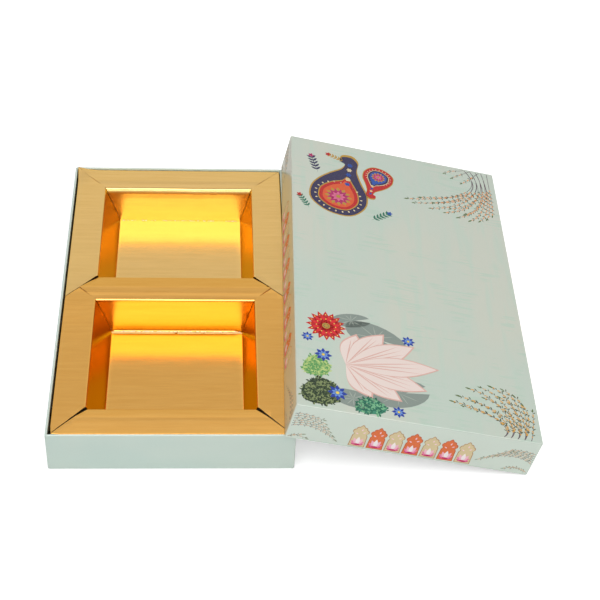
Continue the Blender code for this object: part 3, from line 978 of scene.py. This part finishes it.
# %% Lotus, pads and leaves
PALE_PINK = colour(238, 220, 212)
ROSE = colour(222, 176, 164)
PAD_INK = colour(138, 150, 142)
PAD_VEIN = colour(166, 176, 164)
YELLOW_INK = colour(240, 214, 90)
LOTUS_ROOT = (36, 46)
ROSETTE = (23, 82)
PADS = (((60, 78), 48, 26, -22), ((74, 26), 46, 26, 20), ((40, 14), 34, 16, -8), ((42, 92), 30, 14, 12))
PETAL_ROWS = ((66, 34, 17), (43, 48, 19), (21, 60, 20), (0, 70, 19))
BLUE_FLOWERS = (((20, 52), 1.0), ((29, 17), 1.1), ((72, 8), 0.8), ((84, 80), 0.8), ((9, 68), 0.7))
MOUND = rounded([(0, 0), (10, -3), (22, 0), (27, 9), (22, 18), (13, 22), (5, 18), (-1, 9)])
DARK_LEAVES = (colour(38, 56, 34), colour(128, 142, 92))
PALE_LEAVES = (colour(96, 158, 90), colour(190, 210, 130))
TEAL_LEAVES = (colour(36, 108, 84), colour(120, 186, 140))


def pad(art, spot, width, height, turn):
    """A lily pad: a notched oval with veins."""
    art.shape([*oval(width, height, 22)[1:], (width * 0.1, 0.0)], PAD_INK, 1, spot, turn)
    for i in range(1, 9):
        angle = math.radians(40 * i)
        reach = 0.42 * width * height / math.hypot(height * math.cos(angle), width * math.sin(angle))
        art.shape(petal(reach, 0.7, steps=4), PAD_VEIN, 2, spot, turn + 40 * i)


def strewn(outline, spot, scrap, inks, density, seed, spin=math.pi):
    """A shape strewn with scraps of two inks, so many for each square millimetre."""
    names = ("first", "second")
    drawings = {name: Print().shape(scrap, ink, 2).template(name) for name, ink in zip(names, inks)}
    points = [(x + spot[0], y + spot[1]) for x, y in outline]
    ground = bed(points, faces=[range(len(points))])
    return SCATTER.grow(ground, **drawings, density=density / MM ** 2, spin=spin, seed=seed)


def mound(art, share, spot, ground, inks, density, seed):
    """A bush: a plate of that share of the mound's width and height, strewn with small leaves."""
    outline = [(x * share[0], y * share[1]) for x, y in MOUND]
    art.shape(outline, ground, 1, spot)
    return strewn(outline, spot, petal(2.4, 1.2, 0.9, 4), inks, density, seed)


near_art = Print()
for values in PADS:
    pad(near_art, *values)
for row, (lean, length, width) in enumerate(PETAL_ROWS):
    layer = 3 + 2 * row
    for side in (-1, 1) if lean else (1,):
        turn = 8 + side * lean
        near_art.shape(petal(length, width, 1.1, 12), ROSE, layer, LOTUS_ROOT, turn)
        inner = petal(length - 2.0, width - 1.4, 1.1, 12)
        near_art.shape(inner, PALE_PINK, layer + 0.8, LOTUS_ROOT, turn)
        for vein in (-5, 0, 5):
            near_art.shape(petal(length * 0.82, 0.9, 0.9), ROSE, layer + 1.3, LOTUS_ROOT, turn + vein)
near_art.flower(ROSETTE, 16, petal(15, 6, 0.8), colour(196, 28, 34), 2)
near_art.flower(ROSETTE, 12, petal(11, 5, 0.8), colour(222, 36, 40), 3, 15)
near_art.ring(ROSETTE, 11.5, 16, oval(1.2, 1.0, 8), YELLOW_INK, 4)
near_art.ring(ROSETTE, 7.0, 12, oval(1.1, 0.9, 8), YELLOW_INK, 4)
near_art.shape(oval(6, 6), GOLD_INK, 5, ROSETTE)
near_art.ring(ROSETTE, 1.8, 8, oval(0.9, 0.7, 8), INDIGO, 6)
for spot, size in BLUE_FLOWERS:
    near_art.flower(spot, 8, petal(6.5 * size, 3.2 * size, 0.8), colour(34, 62, 160), 15)
    near_art.flower(spot, 8, petal(4 * size, 2 * size, 0.8), colour(110, 150, 220), 16, 22)
    near_art.shape(oval(2.4 * size, 2.4 * size), YELLOW_INK, 17, spot)
bushes = [
    mound(near_art, (1.0, 1.0), (5, 7), colour(60, 78, 46), DARK_LEAVES, 0.9, 5),
    mound(near_art, (0.7, 0.8), (6, 33), colour(150, 186, 110), PALE_LEAVES, 0.7, 6),
    mound(near_art, (0.8, 0.62), (42, 4), colour(62, 140, 112), TEAL_LEAVES, 0.8, 7),
]
print("faces of the lotus and its leaves:", len(near_art.sheet.faces))

# %% [markdown]
# The sheets of ink are laid on their faces, joined into one piece and moved with the lid. They reach a
# hundredth of a millimetre into the paper, so that no light gets under them.

# %% Lay the print on the lid
W, L, H = lid_size
FACES = {
    "top": Matrix.Translation((0, 0, H)),
    "front": Matrix(((1, 0, 0, 0), (0, 0, -1, 0), (0, 1, 0, 0), (0, 0, 0, 1))),
    "back": Matrix(((-1, 0, 0, W), (0, 0, 1, L), (0, 1, 0, 0), (0, 0, 0, 1))),
    "left": Matrix(((0, 0, -1, 0), (-1, 0, 0, L), (0, 1, 0, 0), (0, 0, 0, 1))),
    "right": Matrix(((0, 0, 1, W), (1, 0, 0, 0), (0, 1, 0, 0), (0, 0, 0, 1))),
}
top_prints = [*top_sprays, far_art.done("far_art"), near_art.done("near_art"), *bushes]
whole_print = bmesh.new()
whole_print.verts.layers.float_color.new("ink")
for face, meshes in {"top": top_prints, **wall_prints}.items():
    for mesh in meshes:
        mesh.transform(LID @ FACES[face])
        whole_print.from_mesh(mesh)
        bpy.data.meshes.remove(mesh)
lid_print = piece_of(whole_print, "lid_print", INK)
stand_for(lid_print, "lid", "printed_paper")

# %% [markdown]
# The gold inserts already have the right shape. They are copied, and their loose triangles are joined and
# cut finer, so that they can be bent a little. A long face between two sharp turns is a cut edge, where
# the board's white core shows.

# %% Copy an insert and find its cut edges
GRID_STEP = 8.0 * MM
HEIGHT_STEP = 2.0 * MM
MERGE = 0.004 * MM
SAME_PLANE = math.radians(0.3)
CUT_EDGE_TURN = math.radians(60)


def copy_of(node):
    """The node's mesh with its triangles joined, and cut by a grid so that it can be moved and shaded."""
    sheet = bmesh.new()
    sheet.from_mesh(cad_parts[node].data)
    bmesh.ops.remove_doubles(sheet, verts=sheet.verts, dist=MERGE)
    bmesh.ops.dissolve_limit(sheet, angle_limit=SAME_PLANE, verts=sheet.verts, edges=sheet.edges)
    low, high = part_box(node)
    for axis, step in enumerate((GRID_STEP, GRID_STEP, HEIGHT_STEP)):
        normal = Vector((axis == 0, axis == 1, axis == 2))
        for i in range(1, int((high[axis] - low[axis]) / step) + 1):
            everything = [*sheet.verts, *sheet.edges, *sheet.faces]
            place = normal * (low[axis] + i * step)
            bmesh.ops.bisect_plane(sheet, geom=everything, plane_co=place, plane_no=normal, dist=MERGE)
    return sheet


def is_cut_edge(face):
    """A cut edge meets the panels on both its long sides at a sharp turn."""
    longest = sorted(face.edges, key=lambda edge: edge.calc_length())[-2:]
    return all(len(edge.link_faces) == 2 and edge.calc_face_angle() > CUT_EDGE_TURN for edge in longest)


print("the inserts are cut every", GRID_STEP / MM, "mm, and every", HEIGHT_STEP / MM, "mm of height")

# %% [markdown]
# Folded board never sits quite as planned. This one is gently uneven, its flaps have slid to the right,
# the far mitres are pressed shut, the far back wall bows in and its left corner has crept up over the
# tray's rim, and the near front left corner was cut a little short. Each is a small shift of the points.

# %% How the inserts sit
BOARD_WAVE = 0.22 * MM
WAVE_LENGTH = 34.0 * MM
CORNER_LIFT = 2.5 * MM
LIFT_REACH = 17.0 * MM
SLACK = 0.55 * MM
SLACK_REACH = 3.0 * MM
# A lead is how far y is ahead of x, in mm. The side flaps' mitred ends lie between the first two leads,
# and the flap beside them begins at the third.
FAR_MITRE = (64.0, 65.0, 65.05)
NEAR_MITRE = (-71.6, -70.9, -70.72)
FOLDS_END = (60.5 * MM, 31.5 * MM)
SNIPPED = Vector((1.0, 0.9, 0.0)) * MM
SNIP_REACH = 5.0 * MM
BOWED_WALL_START = 0.119
# Heights and how far the wall is moved there, in mm.
BOW = ((2.2, -0.15), (11.25, -0.72), (21.0, -0.95), (24.0, -0.97), (30.4, -0.84), (31.2, 0.0))
CORNER_CREEP = Vector((-0.5, 0.9, 0.0)) * MM


def uneven(point, level):
    """The flaps' board is never quite flat. The walls and the floor below them move less."""
    share = max(point.z / level, 0.0) ** 4
    return BOARD_WAVE * share * noise.noise(point / WAVE_LENGTH)


def bow(height):
    """How far the far cavity's back wall has bowed in at a height in mm."""
    heights, moves = zip(*BOW)
    return float(numpy.interp(height, heights, moves, left=0.0, right=0.0)) * MM


def close_mitre(point, mitre):
    """Brings a side flap's slanting end, between two leads of y over x, up to the flap beside it."""
    lead = (point.y - abs(point.x)) / MM
    if mitre[0] < lead < mitre[1] and abs(point.x) > FOLDS_END[0] and point.z > FOLDS_END[1]:
        push = (mitre[2] - lead) / 2 * MM
        point.y += push
        point.x -= math.copysign(push, point.x)


def nearness(point, spot, reach):
    """1 at a spot of the plan, falling to 0 at its reach, and 0 where no spot is given."""
    return 0.0 if spot is None else max(1.0 - (point.xy - spot).length / reach, 0.0)


print("the far back wall bows in by up to", -min(move for height, move in BOW), "mm")

# %% [markdown]
# Dressing an insert marks its cut edges, gives every face its place on the flat sheet so that the brush
# lines run right, and shifts the points. Weighted normals then keep the flat panels flat beside their
# rounded folds.

# %% Dress the gold inserts
PANEL_WEIGHT = 80


def dress_insert(node, name, material, mitre, lifted=None, snipped=None):
    sheet = copy_of(node)
    cut = sheet.faces.layers.float.new("core")
    sheet_map = sheet.loops.layers.uv.new("sheet")
    sheet.normal_update()
    for face in sheet.faces:
        face[cut] = 1.0 if is_cut_edge(face) else 0.0
        sideways = abs(face.normal.x) > 0.5
        upright = abs(face.normal.y) > 0.5
        for loop in face.loops:
            x, y, z = loop.vert.co / MM
            loop[sheet_map].uv = (z, y) if sideways else (x, z) if upright else (x, y)
    low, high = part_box(node)
    for vert in sheet.verts:
        spot = vert.co
        close_mitre(spot, mitre)
        rise = uneven(spot, high.z)
        loose = nearness(spot, lifted, LIFT_REACH)
        crept = loose ** 2 * (spot.z / high.z)
        rise += CORNER_LIFT * crept
        spot += CORNER_CREEP * crept + SNIPPED * nearness(spot, snipped, SNIP_REACH)
        if spot.y > BOWED_WALL_START:
            spot.y += bow(spot.z / MM)
        to_side = min(spot.x - low.x, high.x - spot.x)
        spot.x += SLACK * max(1.0 - to_side / SLACK_REACH, 0.0) * (1.0 - loose)
        spot.z += rise
    rough = piece_of(sheet, name, material)
    flat_panels = modified(rough, "WEIGHTED_NORMAL", keep_sharp=True, weight=PANEL_WEIGHT)
    stand_for(flat_panels, "base", "gold_board", node)


far_low, far_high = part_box("far_insert")
back_left = Vector((far_low.x, far_high.y))
front_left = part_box("near_insert")[0].xy
dress_insert("far_insert", "far_gold_insert", FAR_GOLD, FAR_MITRE, lifted=back_left)
dress_insert("near_insert", "near_gold_insert", NEAR_GOLD, NEAR_MITRE, snipped=front_left)

# %% [markdown]
# Where the floors were creased the foil has cracked, and the board's core shows. The near crease is torn
# white nearly all along with a rubbed band before it, and the far one only has short cracks. They are
# chips, strewn over narrow strips that lie along the crease and face half up.

# %% Cracked foil along the creases
CRACK_LENGTH = 96.0
CREASE_TILT = Matrix.Rotation(math.radians(50), 4, "X")
TORN = (colour(255, 250, 232), colour(250, 236, 190))
RUBBED = (colour(242, 210, 138), colour(236, 202, 126))
CRACKS = (
    # start of the strip, its width, chip, inks, chips on each square millimetre, spin, seed
    ((-46.8, 119.5, 2.6), 0.3, oval(1.5, 0.3, 6), TORN, 2.4, 0.5, 21),
    ((-46.8, -16.2, 2.25), 1.0, oval(7.0, 0.9, 8), RUBBED, 1.1, 0.06, 23),
    ((-46.8, -15.0, 2.7), 0.5, oval(2.4, 0.6, 6), TORN, 1.9, 0.5, 22),
)
cracks = bmesh.new()
cracks.verts.layers.float_color.new("ink")
for start, width, chip, inks, density, spin, seed in CRACKS:
    strip = [(0, 0), (CRACK_LENGTH, 0), (CRACK_LENGTH, width), (0, width)]
    chips = strewn(strip, (0, 0), chip, inks, density, seed, spin)
    chips.transform(Matrix.Translation(Vector(start) * MM) @ CREASE_TILT)
    cracks.from_mesh(chips)
    bpy.data.meshes.remove(chips)
crease_cracks = piece_of(cracks, "crease_cracks", INK)
stand_for(crease_cracks, "base", "gold_board")

# %% [markdown]
# The nodes that stay as they are only need their finish.

# %% Finish the nodes that stay
KEPT = {"_board": GREY_BOARD, "_lining": LINING, "_corner_stay_": TAPE}
for name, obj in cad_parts.items():
    for word, material in KEPT.items():
        if word in name:
            obj.data.materials.clear()
            obj.data.materials.append(material)
            print(name, "keeps its shape and is made of", material.name)

# %% [markdown]
# The camera stands where the photograph was taken from: 1.12 m away, in front of the tray and above it,
# turned a little and held a little askew. A 36 mm sensor behind an 86.5 mm lens frames it.

# %% Camera
CAMERA_PLACE = Vector((0.0246, -0.8158, 0.7661))
CAMERA_PITCH = math.radians(42.223)
CAMERA_YAW = math.radians(4.935)
CAMERA_ROLL = math.radians(3.657)
CAMERA_LENS = 86.45


def add_camera():
    data = bpy.data.cameras.new("camera")
    data.lens = CAMERA_LENS
    camera = add_object("camera", data)
    ahead = Matrix.Rotation(-CAMERA_YAW, 4, "Z") @ Matrix.Rotation(math.pi / 2 - CAMERA_PITCH, 4, "X")
    askew = Matrix.Rotation(CAMERA_ROLL, 4, "Z")
    camera.matrix_world = Matrix.Translation(CAMERA_PLACE) @ ahead @ askew
    bpy.context.scene.camera = camera


add_camera()
print("camera", round(CAMERA_PLACE.length, 2), "m from the tray")

# %% [markdown]
# The set is a white studio. Its walls are the world's light, which is white to the camera and softer as
# light on the object, most of all from the left. What mirrors the room sees it uneven, as a real one is:
# a dimmer ceiling with a lit band in it, and slightly dimmer lower walls.

# %% The room's light
WHITE = (1.0, 1.0, 1.0, 1.0)
WORLD_LIGHT = 0.76
LEFT_DROP = 0.58
LEFT_FADE = (0.0, -0.7)
MIRRORED_ROOM = (
    # two heights, as sines of the angle over the table, and how much dimmer the room gets between them
    ((0.58, 0.42), 0.16),
    ((0.64, 0.7), 0.33),
    ((0.72, 0.81), -0.35),
    ((0.86, 0.94), 0.28),
)


def light_world():
    world = bpy.data.worlds.new("studio")
    bpy.context.scene.world = world
    world.use_nodes = True
    room = Graph(world.node_tree)
    path = room.node("ShaderNodeLightPath")
    mirrored = path.out("Is Glossy Ray")
    seen = path.maths("MAXIMUM", path.out("Is Camera Ray"), mirrored)
    rise = room.node("ShaderNodeSeparateXYZ", {0: room.node("ShaderNodeTexCoord")}, "Z")
    light = WORLD_LIGHT - rise.out("X").ramp(*LEFT_FADE) * LEFT_DROP
    strength = light + (1.0 - light) * seen
    for heights, drop in MIRRORED_ROOM:
        strength = strength - mirrored * rise.ramp(*heights) * drop
    background = world.node_tree.nodes["Background"]
    room.join(WHITE, background.inputs["Color"])
    room.join(strength, background.inputs["Strength"])


light_world()
print("world:", bpy.context.scene.world.name)

# %% [markdown]
# A softbox above the camera, to its left, gives the shadows. A large panel behind the camera is only
# there to be mirrored, as a product photographer sets one: the gold cavities mirror it twice, which makes
# their floors and back walls shine yellow. The floor keeps the box's shadow.

# %% Softbox, panel and floor
KEY_POWER = 9.0
KEY_SIZE = (0.9, 0.9)
KEY_PLACE = Vector((-0.25, -0.75, 1.35))
PANEL_ANGLE = math.radians(45)
PANEL_DISTANCE = 2.4
PANEL_SIZE = (2.4, 2.2)
PANEL_GLOW = 3.3
FLOOR_SIZE = 12.0
FLOOR_DROP = 0.0003
FLOOR_LIFT = 0.5
FLOOR_PAINT = (0.9, 0.9, 0.9, 1.0)


def add_softbox(name, place, size, power):
    """An area lamp that looks at the middle of the tray."""
    data = bpy.data.lights.new(name, "AREA")
    data.shape = "RECTANGLE"
    data.size, data.size_y = size
    data.energy = power
    lamp = add_object(name, data)
    lamp.location = place
    lamp.rotation_euler = place.to_track_quat("Z", "Y").to_euler()
    return lamp


def lay_floor():
    sheet = bmesh.new()
    bmesh.ops.create_grid(sheet, x_segments=1, y_segments=1, size=FLOOR_SIZE / 2)
    finish = Finish("floor")
    finish.tree.nodes.remove(finish.shader)
    path = finish.node("ShaderNodeLightPath")
    paint = finish.node("ShaderNodeBsdfDiffuse", {"Color": FLOOR_PAINT})
    glow = finish.node("ShaderNodeEmission", {"Strength": path.out("Is Camera Ray") * FLOOR_LIFT})
    both = finish.node("ShaderNodeAddShader", {0: paint, 1: glow})
    finish.join(both, finish.tree.nodes["Material Output"].inputs["Surface"])
    floor = piece_of(sheet, "floor", finish.material)
    floor.location.z = -FLOOR_DROP


key = add_softbox("key_softbox", KEY_PLACE, KEY_SIZE, KEY_POWER)
key.visible_glossy = False
panel_place = PANEL_DISTANCE * Vector((0.0, -math.cos(PANEL_ANGLE), math.sin(PANEL_ANGLE)))
panel_power = PANEL_GLOW * math.pi * PANEL_SIZE[0] * PANEL_SIZE[1]
mirror_panel = add_softbox("front_panel", panel_place, PANEL_SIZE, panel_power)
mirror_panel.visible_diffuse = False
lay_floor()
bpy.context.scene.view_settings.view_transform = "Standard"
print("lamps:", key.name, mirror_panel.name)
